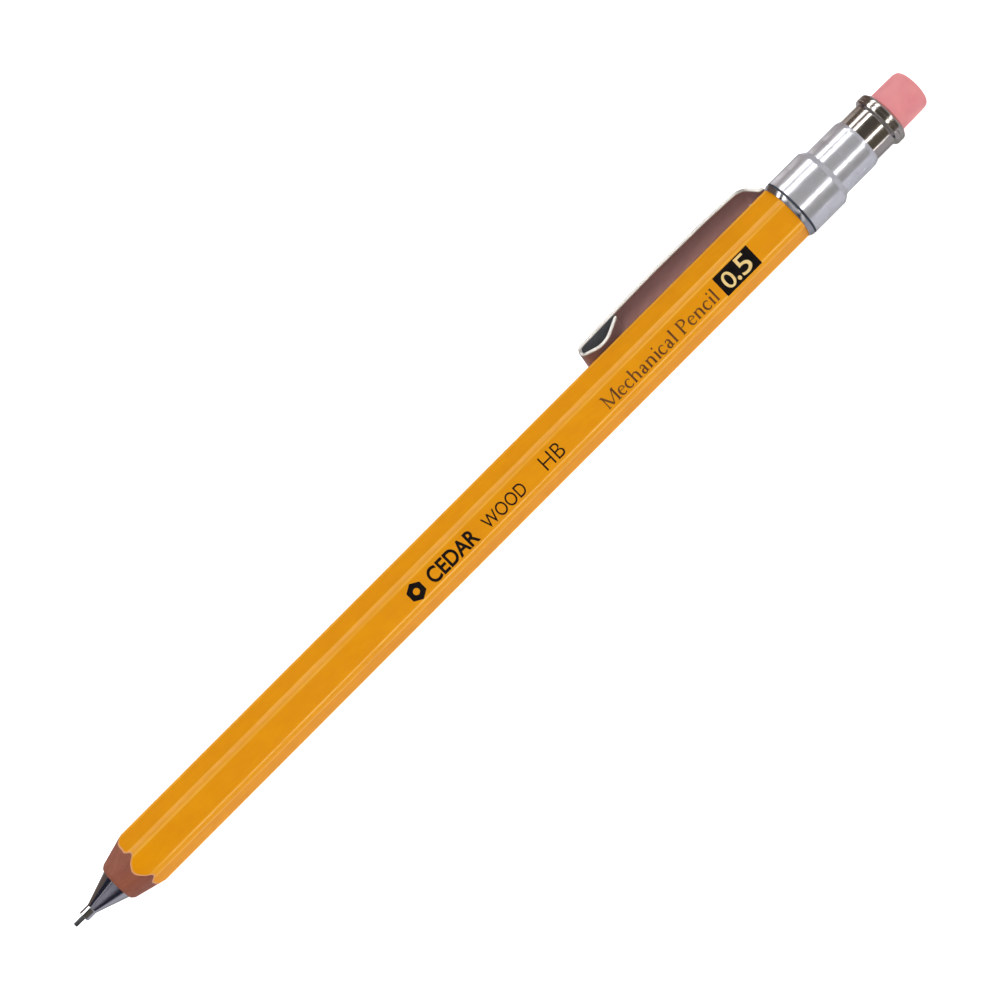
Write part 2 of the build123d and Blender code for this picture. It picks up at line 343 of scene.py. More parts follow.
def wood_material():
    """Bare cedar: fine fibres along the axis, rings, and short dark pores."""
    s = Shader("cedar")
    fibre = s.noise(3.2, 8, (0.10, 1.6, 1.6), 0.65)
    rings = s.noise(0.55, 3, (0.15, 1, 1))
    tone = s.mix(s.scale_range(rings, 0.35, 0.65, 0, 1), rgb(136, 69, 50), rgb(151, 83, 55))
    base = s.mix(s.scale_range(fibre, 0.35, 0.7, 0, 0.35), tone, rgb(112, 55, 43))
    pores = s.scale_range(s.noise(7, 2, (0.12, 1, 1)), 0.66, 0.72, 0, 0.45)
    base = s.mix(pores, base, rgb(80, 38, 30))
    s.set(Base_Color=base, Roughness=s.scale_range(fibre, 0.3, 0.7, 0.5, 0.75))
    s.bump(fibre, 0.3, 0.00005)
    return s.material


def metal_material(name, colour, low, high, around=0.0, along=0.0, wear=0.0, metallic=1.0):
    """Metal with fine tool marks running round or along the axis, smudges and light wear."""
    s = Shader(name)
    smudge = s.noise(0.6, 5)
    tint = tuple(c * 0.86 for c in colour[:3]) + (1.0,)
    base = s.mix(s.scale_range(smudge, 0.35, 0.65, 0, 0.6), colour, tint)
    rough = s.scale_range(smudge, 0.3, 0.7, low, high)
    if around:
        marks = s.noise(1.0, 3, (26, 0.25, 0.25), 0.7)
        s.bump(marks, around, 0.000006)
    if along:
        marks = s.noise(1.0, 3, (0.35, 22, 22), 0.7)
        s.bump(marks, along, 0.000006)
    if wear:
        scratch = s.scale_range(s.noise(1.3, 2, (0.7, 6, 6)), 0.73, 0.78, 0, 1)
        rough = s.maths("ADD", rough, s.maths("MULTIPLY", scratch, wear))
    s.set(Base_Color=base, Metallic=metallic, Roughness=rough)
    return s.material


def plain_material(name, colour, shade, rough, bump=0.2, grain=5.0, shine=0.5):
    """Plastic, rubber or graphite: mottled colour, uneven gloss and a fine grain."""
    s = Shader(name)
    base = s.mix(s.scale_range(s.noise(1.2, 5), 0.35, 0.65, 0, 1), colour, shade)
    s.set(Base_Color=base, Roughness=s.scale_range(s.noise(2.0, 4), 0.3, 0.7, rough, rough + 0.12))
    s.set(Specular_IOR_Level=shine)
    s.bump(s.noise(grain, 5), bump, 0.00002)
    return s.material


def eraser_material():
    """Soft pink eraser: dusty matt skin, fine specks and a little shine at the sides."""
    s = Shader("pink_eraser")
    drift = s.scale_range(s.noise(0.5, 4), 0.35, 0.65, 0, 1)
    base = s.mix(drift, rgb(229, 143, 144), rgb(222, 132, 138))
    speck = s.scale_range(s.noise(14, 2), 0.68, 0.74, 0, 0.35)
    base = s.mix(speck, base, rgb(196, 98, 108))
    s.set(Base_Color=base, Roughness=s.scale_range(s.noise(3, 4), 0.3, 0.7, 0.55, 0.7))
    s.set(Subsurface_Weight=0.15, Subsurface_Radius=(1.0, 0.4, 0.35), Subsurface_Scale=0.0008)
    s.bump(s.noise(10, 5), 0.35, 0.00003)
    return s.material


LACQUER = lacquer_material()
PRIMER = primer_material()
CEDAR = wood_material()
CHROME = metal_material("tip_chrome", rgb(206, 206, 210), 0.07, 0.12, around=0.2)
COLLAR_METAL = metal_material("collar_chrome", rgb(196, 196, 200), 0.10, 0.20, around=0.2)
CLIP_METAL = metal_material("clip_steel", rgb(205, 200, 194), 0.14, 0.28, wear=0.2)
CLIP_EDGE = metal_material(
    "clip_sheared_edge", rgb(196, 192, 186), 0.38, 0.5, along=0.5, metallic=0.8
)
# Painted shade and reflection: the strip's inner face and the flap's face towards the barrel get a dull
# brownish mauve that stands in for the shade and shaded reflections under the clip.
CLIP_INSIDE_PAINTED_SHADE = metal_material(
    "clip_inside_painted_shade", rgb(142, 112, 116), 0.6, 0.7, along=0.3, metallic=0.15
)
# Painted shade: a darker grey for the strip's inner face inside the fold, where less light gets in.
CLIP_FOLD_PAINTED_SHADE = metal_material(
    "clip_fold_painted_shade", rgb(118, 124, 130), 0.6, 0.7, along=0.3, metallic=0.15
)
ALUMINIUM = metal_material(
    "satin_aluminium", rgb(222, 222, 228), 0.2, 0.27, around=0.15, along=0.2, wear=0.15, metallic=0.7
)
NICKEL = metal_material("cup_nickel", rgb(196, 188, 180), 0.12, 0.2, around=0.2, wear=0.15)
BRASS = metal_material("turned_brass", rgb(214, 178, 110), 0.22, 0.34, around=0.5)
LINER = metal_material("liner_brass", rgb(208, 176, 116), 0.3, 0.4, along=0.4)
STEEL = metal_material("spring_steel", rgb(176, 176, 180), 0.25, 0.35, around=0.4)
BUSH = plain_material("bush_plastic", rgb(226, 226, 222), rgb(214, 214, 208), 0.42)
TANK = plain_material("tank_plastic", rgb(62, 62, 66), rgb(52, 52, 55), 0.35)
RUBBER = plain_material("retainer_rubber", rgb(30, 30, 31), rgb(40, 40, 42), 0.6)
# Painted shade: a dark slate colour in the groove between the collar and the sleeve.
JOINT_SHADOW = plain_material("joint_painted_shade", rgb(52, 62, 78), rgb(40, 44, 58), 0.5)
GRAPHITE = plain_material("graphite", rgb(66, 65, 68), rgb(48, 48, 51), 0.32, 0.4, 12.0)
ERASER = eraser_material()
INK = plain_material("print_black", rgb(15, 12, 12), rgb(22, 18, 17), 0.4, 0.1, 20.0, 0.03)
BROWN_INK = plain_material("print_brown", rgb(92, 58, 26), rgb(112, 72, 30), 0.4, 0.1, 20.0, 0.05)
CREAM = plain_material("print_cream", rgb(236, 208, 140), rgb(226, 192, 118), 0.3, 0.1, 20.0, 0.2)


# ---------------------------------------------------------------- barrel

BARREL_TURNS = 288
RIDGE_HALF = math.radians(6.3)
# The width of the painted highlight lines at the edges of each rounded ridge.
RIDGE_LINE = math.radians(1.6)
SCALLOPS_SET_BACK = ((1, 0.8), (3, 0.65))


def cone_x(radius):
    """Where the sharpened cone reaches a radius."""
    return WOOD_START + WOOD_BEVEL + (radius - WOOD_SHOULDER_R) / SHARPEN_SLOPE


def scallop_wobble(turn):
    """How far the paint's edge is off the true cone: two flats are cut further back."""
    place = Vector((3.1 * math.cos(turn), 3.1 * math.sin(turn), 0.7))
    uneven = 0.07 * noise.noise(place * 1.6) + 0.03 * noise.noise(place * 5.0)
    for flat, back in SCALLOPS_SET_BACK:
        off = (turn - FLAT_TURN - flat * math.pi / 3 + math.pi) % (2 * math.pi) - math.pi
        if abs(off) < math.pi / 6:
            uneven += back * math.cos(3 * off) ** 2
    return uneven


def barrel_point(x, turn, radius):
    return Vector((x, -radius * math.sin(turn), radius * math.cos(turn)))


def barrel_rings(rows):
    """Rings of points from a function of the angle that gives a list of (x, radius)."""
    turns = [2 * math.pi * j / BARREL_TURNS for j in range(BARREL_TURNS)]
    columns = [rows(turn) for turn in turns]
    return [
        [barrel_point(columns[j][i][0], turns[j], columns[j][i][1]) for j in range(BARREL_TURNS)]
        for i in range(len(columns[0]))
    ]


def wood_rows(turn):
    """The wood's section at one angle: bore, face, sharpened cone, flat, rear end."""
    radius = hexagon_radius(turn, ACROSS_FLATS - 2 * COAT, CORNER_R - COAT)
    edge = cone_x(radius) + scallop_wobble(turn)
    shoulder = WOOD_START + WOOD_BEVEL
    edge_r = min(radius, WOOD_SHOULDER_R + (edge - shoulder) * SHARPEN_SLOPE)
    rows = [(WOOD_START, BORE_R), (WOOD_START, WOOD_FACE_R)]
    rows += [(WOOD_START + WOOD_BEVEL * 0.5, (WOOD_FACE_R + WOOD_SHOULDER_R) / 2 + 0.02)]
    steps = 14
    for i in range(steps + 1):
        share = i / steps
        x = shoulder + (edge - shoulder) * share
        rows.append((x, WOOD_SHOULDER_R + (edge_r - WOOD_SHOULDER_R) * share))
    rear_r = min(radius, REAR_CORNER_R - 0.05)
    rows += [(edge + 0.4, radius), (BARREL_END - REAR_CHAMFER, radius), (BARREL_END, rear_r)]
    rows += [(BARREL_END, BORE_R), ((BARREL_START + BARREL_END) / 2, BORE_R)]
    return rows


def lacquer_rows(turn):
    """The coat's section at one angle, from its cut edge to the rear end and back inside."""
    inner = hexagon_radius(turn, ACROSS_FLATS - 2 * COAT, CORNER_R - COAT)
    outer = hexagon_radius(turn, ACROSS_FLATS, CORNER_R)
    wobble = scallop_wobble(turn)
    start = cone_x(inner) + wobble
    end = cone_x(outer) + wobble
    middle = 0.55
    rows = [(start, inner), (start + (end - start) * middle, inner + COAT * middle)]
    rows += [(end - 0.05, outer - 0.016), (end + 0.02, outer - 0.004), (end + 0.12, outer)]
    lengths = 24
    rear = BARREL_END - REAR_CHAMFER
    rows += [(end + 0.12 + (rear - end - 0.12) * i / lengths, outer) for i in range(1, lengths)]
    rows += [(rear - 0.05, outer), (rear + 0.05, outer - 0.01)]
    rows += [(BARREL_END, min(outer, REAR_CORNER_R)), (BARREL_END, min(inner, REAR_CORNER_R - 0.05))]
    rows += [(rear, inner), (end + 1.0, inner)]
    return rows


def add_attribute(mesh, name, value_at):
    layer = mesh.attributes.new(name, "FLOAT", "POINT")
    layer.data.foreach_set("value", [value_at(v.co) for v in mesh.vertices])


def from_ridge(point):
    """The angle round the axis from a point to the nearest ridge of the hexagon."""
    flat = math.pi / 3
    turn = math.atan2(-point.y, point.z)
    return flat / 2 - abs((turn - FLAT_TURN + flat / 2) % flat - flat / 2)


def ridge_share(point):
    """1 along a rounded ridge, fading to 0 where the flats begin."""
    return min(1.0, max(0.0, (RIDGE_HALF * 1.35 - from_ridge(point)) / (RIDGE_HALF * 0.5)))


def ridge_highlight_line_share(point):
    """1 on the two fine painted highlight lines where a ridge's rounding meets the flats."""
    return math.exp(-(((from_ridge(point) - RIDGE_HALF) / RIDGE_LINE) ** 2))


def build_barrel():
    wood = grid_mesh("wood_core", barrel_rings(wood_rows), True)
    add_piece("wood_core", wood, "barrel", ["wood_barrel"], [CEDAR])
    rings = barrel_rings(lacquer_rows)
    coat = grid_mesh("lacquer_shell", rings, True, lambda row: 1 if row == 0 else 0)
    # The ridge mask paints the lacquer paler on each ridge, a painted highlight, and raises its shine
    # there; the second mask places the painted highlight lines.
    add_attribute(coat, "ridge", ridge_share)
    add_attribute(coat, "ridge_highlight_line", ridge_highlight_line_share)
    materials = [LACQUER, PRIMER]
    add_piece("lacquer_shell", coat, "barrel", ["lacquer_coat"], materials, 30)


# ---------------------------------------------------------------- turned pieces

def build_tip():
    start, end, _ = span("tip_cone")
    land_end = BARREL_START + CONE_LAND
    room_start, room_end, room_r = RETAINER_ROOM
    corners = [
        (start, LEAD_BORE_R, 0.03),
        (start, NOSE_R, 0.10),
        (NOSE_END, NOSE_R, 0.5),
        (BARREL_START, CONE_R, 0.02),
        (land_end, CONE_R, 0.0),
        (land_end, SLEEVE_BORE_R, 0.0),
        (end, SLEEVE_BORE_R, 0.1),
        (end, SHANK_BORE_R, 0.0),
        (SHANK_BORE_X, SHANK_BORE_R, 0.0),
        (SHANK_BORE_X, CHUCK_ROOM_R, 0.0),
        (room_end, CHUCK_ROOM_R, 0.0),
        (room_end, room_r, 0.0),
        (room_start, room_r, 0.0),
        (room_start, LEAD_BORE_R, 0.0),
    ]
    mesh = lathe("metal_tip", corners)
    add_piece("metal_tip", mesh, "barrel", ["tip_cone"], [CHROME], 30)


def build_lead():
    start, end, radius = span("lead")
    corners = [(start, 0, 0), (start, radius, 0.07), (end, radius, 0.02), (end, 0, 0)]
    mesh = lathe("lead_stick", corners, 48)
    add_piece("lead_stick", mesh, "lead", ["lead"], [GRAPHITE], 50)


def darken_joint(mesh, x, outside):
    """Gives the faces in the groove between the collar and the sleeve the second material, their painted
    shade.
    """
    for face in mesh.polygons:
        radius = math.hypot(face.center.y, face.center.z)
        if abs(face.center.x - x) < 0.16 and outside - 0.2 < radius < outside - 0.01:
            face.material_index = 1


def build_collar():
    start, end, radius = span("clip_ring")
    corners = [
        (start, BORE_R, 0.0),
        (start, REAR_CORNER_R, 0.04),
        (start + COLLAR_CONE, radius, 0.05),
        (end - 0.13, radius, 0.01),
        (end - 0.07, radius - JOINT_DEPTH, 0.02),
        (end, radius - JOINT_DEPTH, 0.0),
        (end, BORE_R, 0.0),
    ]
    mesh = lathe("clip_collar", corners)
    darken_joint(mesh, end, radius)
    materials = [COLLAR_METAL, JOINT_SHADOW]
    add_piece("clip_collar", mesh, "barrel", ["clip_ring"], materials, 30)


def turned_groove(x, radius, width=0.10, depth=0.03):
    """Corners of a fine turned groove in a straight wall."""
    return [
        (x - width / 2, radius, 0.02),
        (x, radius - depth, 0.02),
        (x + width / 2, radius, 0.02),
    ]


def build_rear_sleeve():
    start, end, radius = span("rear_sleeve")
    bore = REAR_SLEEVE_BORE_R
    seat_start, seat_end, seat_r = REAR_SLEEVE_SEAT
    corners = [
        (start, BORE_R, 0.0),
        (start, radius - JOINT_DEPTH, 0.0),
        (start + 0.09, radius - JOINT_DEPTH, 0.02),
        (start + 0.16, radius, 0.02),
        *turned_groove(REAR_SLEEVE_GROOVE_X, radius, 0.08, 0.02),
        (REAR_SLEEVE_CHAMFER_X, radius, 0.12),
        (end - 0.01, bore + 0.05, 0.03),
        (end, bore, 0.0),
        (seat_start, bore, 0.0),
        (seat_start, seat_r, 0.0),
        (seat_end, seat_r, 0.0),
        (seat_end, BORE_R, 0.0),
    ]
    mesh = lathe("sleeve_turned", corners)
    darken_joint(mesh, start, radius)
    materials = [ALUMINIUM, JOINT_SHADOW]
    add_piece("sleeve_turned", mesh, "barrel", ["rear_sleeve"], materials, 30)


def build_knock_tube():
    start, end, radius = span("knock_tube")
    bore = KNOCK_REAR_BORE_R
    web_start, web_end, tank_r = KNOCK_WEB
    corners = [
        (start, KNOCK_FRONT_BORE_R, 0.0),
        (start, radius, 0.08),
        *turned_groove(KNOCK_GROOVE_X, radius),
        (KNOCK_CHAMFER_X, radius, 0.12),
        (end - 0.01, bore + 0.07, 0.03),
        (end, bore, 0.0),
        (web_end, bore, 0.0),
        (web_end, tank_r, 0.0),
        (web_start, tank_r, 0.0),
        (web_start, KNOCK_FRONT_BORE_R, 0.0),
    ]
    mesh = lathe("knock_turned", corners)
    add_piece("knock_turned", mesh, "knock", ["knock_tube"], [ALUMINIUM], 30)


def build_eraser_cup():
    start, end, bead = span("eraser_cup")
    rise, crest_start, crest_groove, crest_end, fall = CUP_BEAD
    corners = [
        (start, 0, 0.0),
        (start, CUP_R, 0.08),
        (rise, CUP_R, 0.30),
        (crest_start, bead, 0.45),
        *turned_groove(crest_groove, bead, 0.12, 0.06),
        (crest_end, bead, 0.40),
        (fall, CUP_R, 0.06),
        (end, CUP_R - 0.10, 0.05),
        (end, CUP_BORE_R, 0.04),
        (start + CUP_FLOOR, CUP_BORE_R, 0.0),
        (start + CUP_FLOOR, 0, 0.0),
    ]
    mesh = lathe("cup_drawn", corners, steps=8)
    add_piece("cup_drawn", mesh, "eraser_cup", ["eraser_cup"], [NICKEL], 40)


def build_eraser():
    start, end, radius = span("eraser")
    corners = [
        (start, 0, 0.0),
        (start, radius, 0.15),
        (ERASER_EDGE_START, radius, 0.0),
        (end, radius - 0.06, 0.9),
        (end, 0, 0.0),
    ]
    mesh = lathe("eraser_plug", corners, steps=12)
    for vertex in mesh.vertices:
        if 133.4 < vertex.co.x < end - 0.01:
            dent = 0.5 + 0.5 * noise.noise(vertex.co * 0.8)
            vertex.co -= vertex.normal * 0.03 * dent
    add_piece("eraser_plug", mesh, "eraser", ["eraser"], [ERASER], 60)


# ---------------------------------------------------------------- clip

CLIP_THICK = 0.45
CLIP_EDGE_R = 0.11
CLIP_HALF = 2.5
CLIP_FOOT_HALF = 1.7
CLIP_TIP = 88.14
CLIP_CORNER_R = 0.5
CLIP_KNEE_START = 114.0
CLIP_KNEE_X = 115.8
BURR_START = CLIP_TIP + 1.5
BURR_END = 112.5
BURR_ACROSS = 0.07
BURR_IN = 0.035
# The strip's middle line from its foot over the knee and the arched back to the nose,
# where it folds under, touches down at the bump and rises again: (x, out from the axis, rounding)
CLIP_LINE = [
    (117.05, 3.70, 0),
    (116.5, 3.79, 0.3),
    (115.4, 5.33, 0.9),
    (109.5, 5.67, 60.0),
    (100.0, 5.76, 200.0),
    (85.6, 5.41, 0.62),
    (90.93, 3.43, 3.2),
    (94.15, 5.07, 0),
]


def clip_half_width(x):
    """Half the strip's width: rounded nose corners, a narrower foot."""
    half = CLIP_HALF
    into = CLIP_TIP + CLIP_CORNER_R - x
    if into > 0:
        into = min(into, CLIP_CORNER_R)
        half -= CLIP_CORNER_R - math.sqrt(max(0.0, CLIP_CORNER_R**2 - into**2))
    share = min(1.0, max(0.0, (x - CLIP_KNEE_START) / (CLIP_KNEE_X - CLIP_KNEE_START)))
    share = share * share * (3 - 2 * share)
    return half + (CLIP_FOOT_HALF - CLIP_HALF) * share


def densify(points, step):
    """The same line with extra points so that no run is longer than step."""
    made = [points[0]]
    for a, b in zip(points, points[1:]):
        parts = max(1, math.ceil((b - a).length / step))
        made += [a.lerp(b, i / parts) for i in range(1, parts + 1)]
    return made


def strip_section(half_width, half_thick, radius, arc=4):
    """A rounded rectangle as (across, out) points."""
    points = []
    for i, (side, out) in enumerate(((1, 1), (-1, 1), (-1, -1), (1, -1))):
        centre = Vector((side * (half_width - radius), out * (half_thick - radius)))
        for step in range(arc + 1):
            turn = math.pi / 2 * (i + step / arc)
            points.append(centre + Vector((math.cos(turn), math.sin(turn))) * radius)
    return points


def paint_clip_sides(mesh, around, fold):
    """Polished outside, rougher sheared edges, painted shade on the inside and on the flap's face towards
    the barrel, and darker painted shade inside the fold.
    """
    quarter = around // 4
    for face in mesh.polygons:
        if len(face.vertices) > 4:
            face.material_index = 1
            continue
        ring, place = divmod(face.index, around)
        side = place // quarter
        flat = place % quarter == quarter - 1
        face.material_index = 1
        if side == 3 and not flat or side == 2 and flat:
            # Inside the fold, ahead of the bump, the face gets the darker painted shade.
            shaded = ring < fold and face.center.x < CLIP_LINE[-1][0]
            face.material_index = 3 if shaded else 2
        elif side == 0 and flat:
            face.material_index = 2 if ring >= fold else 0


def with_burr(point):
    """A section point, with one inner corner of the strip drawn out to a small burr."""
    across, out = point
    if across < 0 or out > 0:
        return point
    corner = Vector((CLIP_HALF - CLIP_EDGE_R, CLIP_EDGE_R - CLIP_THICK / 2))
    burr = Vector((CLIP_HALF + BURR_ACROSS, -CLIP_THICK / 2 - BURR_IN))
    return burr + (point - corner) * 0.25


def build_clip():
    line = densify(rounded_outline(CLIP_LINE, 10, closed=False), 0.35)
    fold = min(range(len(line)), key=lambda i: line[i].x)
    rings = []
    for i, here in enumerate(line):
        ahead = (line[min(i + 1, len(line) - 1)] - line[max(i - 1, 0)]).normalized()
        out = Vector((-ahead.y, ahead.x)) * -1
        ends = min(i, len(line) - 1 - i)
        thick = CLIP_THICK / 2 * (0.75 if ends == 0 else 1.0)
        section = strip_section(clip_half_width(here.x), thick, min(CLIP_EDGE_R, thick * 0.9))
        if i < fold and BURR_START < here.x < BURR_END:
            section = [with_burr(point) for point in section]
        rings.append([Vector((here.x + out.x * b, a, here.y + out.y * b)) for a, b in section])
    mesh = grid_mesh("clip_strip", rings, False)
    paint_clip_sides(mesh, len(rings[0]), fold)
    materials = [CLIP_METAL, CLIP_EDGE, CLIP_INSIDE_PAINTED_SHADE, CLIP_FOLD_PAINTED_SHADE]
    strip = add_piece("clip_strip", mesh, None, ["clip_strap"], materials, 40)
    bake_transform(strip)


# ---------------------------------------------------------------- spring

def build_spring():
    low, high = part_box("return_spring")
    start = (low.x - TIP_X) / MM
    end = (high.x - TIP_X) / MM
    wire = 0.15
    radius = (high.z - low.z) / 2 / MM - wire
    turns, per_turn, around = 9, 32, 10
    rings = []
    for i in range(turns * per_turn + 1):
        share = i / (turns * per_turn)
        turn = 2 * math.pi * turns * share
        out = Vector((0, math.cos(turn), math.sin(turn)))
        centre = Vector((start + wire + (end - start - 2 * wire) * share, 0, 0)) + out * radius
        side = Vector((1, 0, 0))
        rings.append(
            [
                centre + (out * math.cos(a) + side * math.sin(a)) * wire
                for a in (2 * math.pi * k / around for k in range(around))
            ]
        )
    mesh = grid_mesh("coil", rings, False)
    coil = add_piece("coil", mesh, "barrel", ["return_spring"], [STEEL], 40)
    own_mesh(coil)


# ---------------------------------------------------------------- printing

def flat_frame(x, up):
    """A matrix on the printed flat: text runs to +X, its top points round towards the clip."""
    normal = Vector((0, -math.sin(PRINTED_FLAT), math.cos(PRINTED_FLAT)))
    along = Vector((1, 0, 0))
    rise = normal.cross(along)
    origin = normal * (ACROSS_FLATS / 2) + along * x + rise * up
    made = Matrix((along, rise, normal)).transposed().to_4x4()
    made.translation = origin
    return PENCIL @ made


def add_print(name, mesh, x, up, material):
    """A printed film on the flat; its mesh is in millimetres, ink upwards."""
    return add_piece(name, mesh, "barrel", None, [material], 40, flat_frame(x, up))


INK_THICK = 0.012


def text_mesh(name, words, height, slim):
    """Lettering in the built-in font, as thin solid ink, left edge and baseline at the origin."""
    curve = bpy.data.curves.new(name, "FONT")
    curve.body = words
    curve.size = 1.0
    curve.extrude = 0.5
    curve.offset = slim
    curve.resolution_u = 8
    holder = bpy.data.objects.new(name, curve)
    bpy.context.scene.collection.objects.link(holder)
    bpy.context.view_layer.update()
    graph = bpy.context.evaluated_depsgraph_get()
    mesh = bpy.data.meshes.new_from_object(holder.evaluated_get(graph))
    bpy.data.objects.remove(holder)
    tall = max(v.co.y for v in mesh.vertices)
    left = min(v.co.x for v in mesh.vertices)
    scale = height / tall
    for v in mesh.vertices:
        v.co = Vector(((v.co.x - left) * scale, v.co.y * scale, (v.co.z + 0.5) * INK_THICK))
    bm = bmesh.new()
    bm.from_mesh(mesh)
    bmesh.ops.remove_doubles(bm, verts=bm.verts, dist=1e-4)
    bm.to_mesh(mesh)
    bm.free()
    return mesh


def plate_mesh(name, width, height, radius):
    """A thin rounded rectangle of ink, corner at the origin."""
    corners = [(0, 0, radius), (width, 0, radius), (width, height, radius), (0, height, radius)]
    outline = rounded_outline(corners, 4)
    rings = [[Vector((p.x, p.y, z)) for p in outline] for z in (0.0, INK_THICK)]
    return grid_mesh(name, rings, False)


# Strokes of the title's serif letters: x, y and pen width, in heights of its capital M.
THICK = 0.15
THIN = 0.08
WORD_GAP = 0.35


def stem(x, top, width=THICK):
    return [(x, 0.0, width), (x, top, width)]


def serif(x, y, reach=0.11):
    return [(x - reach, y, 0.05), (x + reach, y, 0.05)]


def ring_stroke(x, y, wide, tall, start, end):
    """Part of an oval, thick at its left side and thin elsewhere; angles in degrees."""
    points = []
    for i in range(13):
        turn = math.radians(start + (end - start) * i / 12)
        pen = THIN + (THICK - THIN) * max(0.0, -math.cos(turn))
        points.append((x + wide * math.cos(turn), y + tall * math.sin(turn), pen))
    return points


def arch(x):
    """The round shoulder and right leg of an n or an h, whose stem is at x."""
    turn = [(x, 0.44, THIN), (x + 0.10, 0.58, THIN), (x + 0.25, 0.64, 0.09), (x + 0.40, 0.55, THICK)]
    return [turn + [(x + 0.43, 0.40, THICK), (x + 0.43, 0.0, THICK)], serif(x + 0.43, 0.02)]


LETTERS = {
    "M": (
        1.30,
        [stem(0.16, 1.0, THIN), [(0.12, 1.0, THICK), (0.62, 0.04, THICK)]]
        + [[(0.62, 0.04, THIN), (1.08, 1.0, THIN)], stem(1.12, 1.0)]
        + [serif(0.16, 0.02), serif(1.12, 0.02, 0.14), serif(0.08, 0.98, 0.08), serif(1.16, 0.98, 0.08)],
    ),
    "e": (0.66, [ring_stroke(0.34, 0.32, 0.25, 0.31, 12, 315), [(0.10, 0.38, 0.05), (0.58, 0.38, 0.05)]]),
    "c": (0.62, [ring_stroke(0.34, 0.32, 0.26, 0.31, 48, 318), [(0.50, 0.52, 0.10), (0.53, 0.52, 0.10)]]),
    "h": (0.80, [stem(0.16, 1.04), *arch(0.16), serif(0.16, 0.02), serif(0.11, 1.02, 0.06)]),
    "n": (0.80, [stem(0.16, 0.64), *arch(0.16), serif(0.16, 0.02), serif(0.11, 0.62, 0.06)]),
    "a": (
        0.66,
        [[(0.14, 0.50, 0.09), (0.22, 0.61, THIN), (0.36, 0.62, 0.09), (0.44, 0.50, THICK)]]
        + [[(0.44, 0.50, THICK), (0.44, 0.08, THICK), (0.58, 0.03, 0.05)]]
        + [ring_stroke(0.30, 0.17, 0.17, 0.16, 60, 320), [(0.36, 0.31, 0.05), (0.44, 0.36, 0.05)]],
    ),
    "i": (
        0.36,
        [stem(0.18, 0.64), serif(0.18, 0.02), serif(0.13, 0.62, 0.06)]
        + [[(0.11, 0.93, 0.13), (0.24, 0.93, 0.13)]],
    ),
    "l": (0.36, [stem(0.18, 1.04), serif(0.18, 0.02), serif(0.13, 1.02, 0.06)]),
    "P": (
        0.86,
        [stem(0.20, 1.0), serif(0.20, 0.02, 0.14), serif(0.14, 0.98, 0.08)]
        + [[(0.20, 0.97, 0.05), (0.48, 0.97, THIN), (0.68, 0.86, THICK)]]
        + [[(0.68, 0.86, THICK), (0.69, 0.64, THICK), (0.50, 0.49, THIN), (0.20, 0.48, 0.05)]],
    ),
}


def stroke_rings(points, lift):
    """Sections of a flat pen stroke, across its direction."""
    rings = []
    for i, (x, y, pen) in enumerate(points):
        before = points[max(i - 1, 0)]
        after = points[min(i + 1, len(points) - 1)]
        along = Vector((after[0] - before[0], after[1] - before[1])).normalized()
        side = Vector((-along.y, along.x)) * pen / 2
        ends = [Vector((x, y)) - side, Vector((x, y)) + side]
        low, high = lift, lift + INK_THICK
        section = [(*ends[0], low), (*ends[1], low), (*ends[1], high), (*ends[0], high)]
        rings.append([Vector(p) for p in section])
    return rings


def serif_mesh(name, words, height, width):
    """Words in the stroked serif letters, scaled to a height and a total width."""
    joined = bmesh.new()
    cursor = 0.0
    for letter in words:
        advance, strokes = LETTERS.get(letter, (WORD_GAP, []))
        for number, stroke in enumerate(strokes):
            placed = [(x + cursor, y, pen) for x, y, pen in stroke]
            part = grid_mesh("stroke", stroke_rings(placed, number * 0.0004), False)
            joined.from_mesh(part)
            bpy.data.meshes.remove(part)
        cursor += advance
    mesh = bpy.data.meshes.new(name)
    joined.to_mesh(mesh)
    joined.free()
    for v in mesh.vertices:
        v.co = Vector((v.co.x * width / cursor, v.co.y * height, v.co.z))
    return mesh


def sized_text(name, words, height, width, slim):
    """Built-in lettering squeezed to a width."""
    mesh = text_mesh(name, words, height, slim)
    wide = max(v.co.x for v in mesh.vertices)
    for v in mesh.vertices:
        v.co.x *= width / wide
    return mesh


def hexagon_mark(name, size):
    """A plain hexagon with a round hole, like the end of a pencil."""
    rings = []
    for radius_at, z in ((True, 0.0), (True, INK_THICK), (False, INK_THICK), (False, 0.0)):
        ring = []
        for j in range(72):
            turn = 2 * math.pi * j / 72
            off = (turn + math.pi / 6) % (math.pi / 3) - math.pi / 6
            radius = size / 2 / math.cos(off) if radius_at else size * 0.2
            ring.append(Vector((radius * math.cos(turn), radius * math.sin(turn), z)))
        rings.append(ring)
    return grid_mesh(name, rings, True)


BASELINE = -1.06
SIZE_BOX_X = 104.7
# Cream digits in the box: piece, digit, height, width, from the box's left edge, up the flat
DIGITS = (
    ("print_zero", "0", 2.0, 1.5, 0.62, -1.16),
    ("print_point", ".", 0.5, 0.5, 2.22, -1.16),
    ("print_five", "5", 2.3, 1.7, 2.98, -1.2),
)
# Black words: piece, word, height, width, x of the left edge, thickening of the strokes
WORDS = (
    ("print_kind", "CEDAR", 1.9, 7.5, 57.1, 0.022),
    ("print_stuff", "WOOD", 1.6, 6.4, 66.0, 0.0),
    ("print_grade", "HB", 1.9, 3.1, 75.6, -0.01),
)


